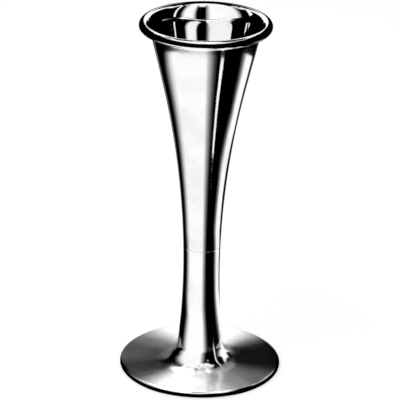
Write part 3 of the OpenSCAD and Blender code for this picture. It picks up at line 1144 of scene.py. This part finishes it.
SLIT_LOW = [(-12, 66.5, 73, 73), (24, 67, 73, 73)]
SLIT_HIGH = [(24, 83, 88, 22), (24, 69, 75, 28), (24, 65, 71, 32), (24, 64, 70, 40), (24, 65, 71, 46)]
SLIT_FAR = [(24, 65, 71, 46), (24, 66, 72, 66)]
SLIT_RAY = 67.4 * MM
SHADE_LIGHT = [(0, 0), (0.85, 0), (1, 0.8)]
SHADE = [(26, 76, 106, 28), (26, 72, 106, 32), (26, 71, 104, 40), (26, 72, 104, 46)]
SHADE_FAR = [(26, 72, 104, 46), (26, 73, 104, 68)]
LID_RAY = 42 * MM

plain_card = card_paint("plain_card")
low_card = card_paint("low_card", 1, SWEEP_RAY)
high_card = card_paint("high_card", 1, 0.0, STEM_RAY, others=True)
slit_card = card_paint("slit_card", 1, 0.0, SLIT_RAY)
lid_card = card_paint("lid_card", 1, one_sided=True)
far_card = card_paint("far_card", 1, LID_RAY, one_sided=True)
shaped_card("front_card", FRONT_LIGHT, FRONT_SIDES, plain_card, CARD_TOP)
shaped_card("right_card", RIGHT_LIGHT, RIGHT_HIGH, high_card, CARD_TOP)
shaped_card("right_card_low", RIGHT_LIGHT, RIGHT_LOW, low_card)
round_card("streak_card", STREAK_CARD, *STREAK_Z, high_card, CARD_R)
shaped_card("slit_low", SLIT_LIGHT, SLIT_LOW, slit_card)
shaped_card("slit_high", SLIT_LIGHT, SLIT_HIGH, lid_card)
shaped_card("slit_far", SLIT_LIGHT, SLIT_FAR, far_card)
shaped_card("sweep_shade", SHADE_LIGHT, SHADE, lid_card)
shaped_card("sweep_shade_far", SHADE_LIGHT, SHADE_FAR, far_card)
round_card("rear_card", REAR_CARD, CARD_LOW, REAR_TOP, plain_card, *REAR_R)

# %% [markdown]
# ## Cards over the mouth
# Four white cards hang over the mouth and show on the far side of the lip. They answer long rays only,
# because the near side of the rim has to stay dark. A dark card behind the rim draws the black outline
# of the bead, a dark lid above takes the ceiling off its top, and two curved strips of light between
# them draw the white line inside the outline. The lip would also mirror the rim itself, as a light line
# across the mouth. Dark cards for second bounces, in front and at both sides, keep it black.

# %% Mouth cards
RIM_Z = bell_high[2]
FAR_RAY = 95 * MM
MOUTH_Z = (RIM_Z + 5 * MM, RIM_Z + 185 * MM)
MOUTH_CARDS = [
    [(-132, 0), (-130, 1), (-121, 1), (-119, 0)],
    [(-96, 0), (-80, 1), (-12, 1), (2, 0)],
    [(24, 0), (34, 1), (54, 1), (66, 0)],
    [(78.5, 0), (80, 1), (84, 1), (85.5, 0)]]
HALO = [(85, 1), (187, 1)]
HALO_LOW = [(85, 290), (92, 285), (105, 255), (125, 241), (137, 222), (156, 195), (163, 183), (175, 170),
            (208, 166)]
HALO_TOP = [(85, 310), (92, 312), (105, 275), (120, 268), (140, 250), (155, 238), (162, 229), (177, 209),
            (181, 199), (190, 191), (208, 189)]
HALO_RAY = (65 * MM, 170 * MM)
RIM_RAY = 150 * MM
SIDE_RAY = 104 * MM
SIDE_Z = (RIM_Z + 22 * MM, RIM_Z + 95 * MM)
FAR_LID = [(-40, 0), (40, 0)]
FAR_LID_YZ = (1.5, 250)
FAR_LID_DEPTH = (0, 73.5, 0)
RIM_CARD = [(110, 0), (250, 0)]
RIM_CARD_H = 160 * MM
LIP_CARD = [(0, 0), (50, 0)]
LIP_CARD_Z = (RIM_Z + 24 * MM, RIM_Z + 150 * MM)
SIDE_CARDS = [("side_right", [(45, 0), (150, 0)]), ("side_left", [(-150, 0), (-60, 0)])]

mouth_card = card_paint("mouth_card", 1, FAR_RAY)
for number, stops in enumerate(MOUTH_CARDS):
    round_card(f"mouth_card_{number}", stops, *MOUTH_Z, mouth_card, CARD_R)
rim_card = card_paint("rim_card", 1, 0.0, RIM_RAY)
round_card("rim_card", RIM_CARD, RIM_Z, RIM_Z + RIM_CARD_H, rim_card, CARD_R + 5 * CARD_GAP)
flat_card("far_lid", FAR_LID, *FAR_LID_YZ, FAR_LID_DEPTH, rim_card)
halo_card = card_paint("halo_card", 1, *HALO_RAY)
round_card("halo_right", HALO, HALO_LOW, HALO_TOP, halo_card, CARD_R)
round_card("halo_left", mirrored(HALO), mirrored(HALO_LOW), mirrored(HALO_TOP), halo_card, CARD_R)
lip_card = card_paint("lip_card", 2, 0.0, RIM_RAY)
round_card("lip_card", LIP_CARD, *LIP_CARD_Z, lip_card, CARD_R + CARD_GAP)
side_card = card_paint("side_card", 2, 0.0, SIDE_RAY)
for name, stops in SIDE_CARDS:
    round_card(name, stops, *SIDE_Z, side_card, CARD_R + 2 * CARD_GAP)

# %% [markdown]
# ## Cards for the disc
# The flat disc mirrors what stands low behind the horn. A grey card at the left lightens that side of
# the disc. A grey lid that hangs behind the horn takes the brightest part of the ceiling off the right
# front. A thin black ring on the table, just outside the disc, draws its rolled edge dark. In front the
# ring is taller, and there only short rays meet it, so it doesn't show in the stem. A card at the right,
# for short rays too, draws the thin white line inside that edge.
#
# The disc also mirrors the stem. Cards in front, above and at the right that only second bounces see
# bring that image close to the disc round it.

# %% Disc cards
EDGE_R = EAR_R + 1.0 * MM
EDGE_FOOT = 0.05 * MM
EDGE_RING_TOP = EDGE_H - 0.3 * MM
EDGE_MAT_R = EAR_R - 0.3 * MM
EDGE_FRONT = [(-95, 0), (85, 0)]
EDGE_FRONT_R = EDGE_R + 0.1 * MM
EDGE_TOP = [(-95, 2.6), (-70, 4.2), (-30, 4.7), (30, 4.7), (60, 3.6), (85, 2.6)]
EDGE_RAY = 6 * MM
EDGE_LIGHT = [(60, 0), (64, 1), (84, 1), (88, 0)]
EDGE_LIGHT_Z = (4 * MM, 70 * MM)
EDGE_LIGHT_RAY = 60 * MM
BACK_CARD = [(-110, 0.14), (-25, 0.12), (-10, 0)]
BACK_CARD_YZ = (150, 0)
BACK_CARD_RISE = (0, 0, 80)
BACK_LID = [(10, 1.2), (22, 0.7), (45, 0.5), (65, 0.3), (110, 0.1)]
BACK_LID_YZ = (170, 120)
BACK_LID_DEPTH = (0, -130, 0)
IMAGE_CARD = [(-70, 2.4), (70, 2.4)]
IMAGE_TOP = 90 * MM
IMAGE_LID = [(-95, 1), (-80, 1.3), (30, 1.3), (50, 0.6), (75, 0.25), (128, 0.15)]
IMAGE_LID_Z = 45 * MM
IMAGE_LID_R = (14 * MM, 58 * MM)
IMAGE_RIGHT = [(114, 0), (122, 1.3), (152, 1.3), (165, 0)]
IMAGE_RIGHT_Z = (0.5 * MM, 32 * MM)

full_turn = [(-180, 0), (180, 0)]
round_card("edge_ring", full_turn, EDGE_FOOT, EDGE_RING_TOP, plain_card, EDGE_R)
round_card("edge_mat", full_turn, EDGE_FOOT, EDGE_FOOT, plain_card, EDGE_MAT_R, EDGE_R)
edge_card = card_paint("edge_card", 1, 0.0, EDGE_RAY)
round_card("edge_front", EDGE_FRONT, EDGE_FOOT, EDGE_TOP, edge_card, EDGE_FRONT_R)
edge_light = card_paint("edge_light", 1, 0.0, EDGE_LIGHT_RAY)
round_card("edge_light", EDGE_LIGHT, *EDGE_LIGHT_Z, edge_light, CARD_R + 3 * CARD_GAP)
flat_card("back_card", BACK_CARD, *BACK_CARD_YZ, BACK_CARD_RISE, plain_card)
flat_card("back_lid", BACK_LID, *BACK_LID_YZ, BACK_LID_DEPTH, lid_card)
image_card = card_paint("image_card", 2)
round_card("image_card", IMAGE_CARD, CARD_LOW, IMAGE_TOP, image_card, CARD_R - CARD_GAP)
round_card("image_lid", IMAGE_LID, IMAGE_LID_Z, IMAGE_LID_Z, image_card, *IMAGE_LID_R)
round_card("image_right", IMAGE_RIGHT, *IMAGE_RIGHT_Z, image_card, CARD_R - CARD_GAP)

# %% [markdown]
# ## Floor and lamp
# The floor is pale paper. To the camera it adds a glow that brings it up to white, so the page stays
# white and the horn's soft shadow stays on it. From below it is clear, so the ear plate can be seen.
# One large lamp from the upper left gives the shadow.

# %% Floor and lamp
FLOOR_HALF = 3.0
FLOOR_Z = -0.05 * MM
FLOOR_COLOUR = (0.5, 0.5, 0.5, 1)
FLOOR_GLOW = 0.66
LAMP_PLACE = (-0.5, -0.5, 1.0)
LAMP_SIZE = 0.8
LAMP_POWER = 5.0


def paper_floor():
    """A square floor just under the horn: diffuse paper, a glow for camera rays, clear from below."""
    corners = np.array(((-1, -1), (1, -1), (1, 1), (-1, 1))) * FLOOR_HALF
    mesh = bpy.data.meshes.new("floor")
    mesh.from_pydata(np.column_stack((corners, np.full(4, FLOOR_Z))), [], [(0, 1, 2, 3)])
    material, tree = fresh_material("pale_paper")
    tree.nodes.clear()
    paper = put(tree, "ShaderNodeBsdfDiffuse", Color=FLOOR_COLOUR).outputs[0]
    glow = put(tree, "ShaderNodeEmission", Color=(1, 1, 1, 1), Strength=FLOOR_GLOW).outputs[0]
    lifted = put(tree, "ShaderNodeAddShader", i0=paper, i1=glow).outputs[0]
    seen = put(tree, "ShaderNodeLightPath").outputs["Is Camera Ray"]
    page = either(tree, seen, paper, lifted)
    below = put(tree, "ShaderNodeNewGeometry").outputs["Backfacing"]
    clear = put(tree, "ShaderNodeBsdfTransparent").outputs[0]
    put(tree, "ShaderNodeOutputMaterial", Surface=either(tree, below, page, clear))
    mesh.materials.append(material)
    floor = placed("floor", mesh)
    floor.visible_glossy = False


def soft_lamp():
    """A square area lamp that mirror rays don't meet, aimed at the horn's middle."""
    data = bpy.data.lights.new("soft_lamp", "AREA")
    data.size = LAMP_SIZE
    data.energy = LAMP_POWER
    lamp = placed("soft_lamp", data)
    lamp.location = LAMP_PLACE
    lamp.rotation_euler = (LOOK_AT - Vector(LAMP_PLACE)).to_track_quat("-Z", "Y").to_euler()
    lamp.visible_glossy = False


paper_floor()
soft_lamp()
print("floor", 2 * FLOOR_HALF, "m wide, lamp", LAMP_POWER, "W")
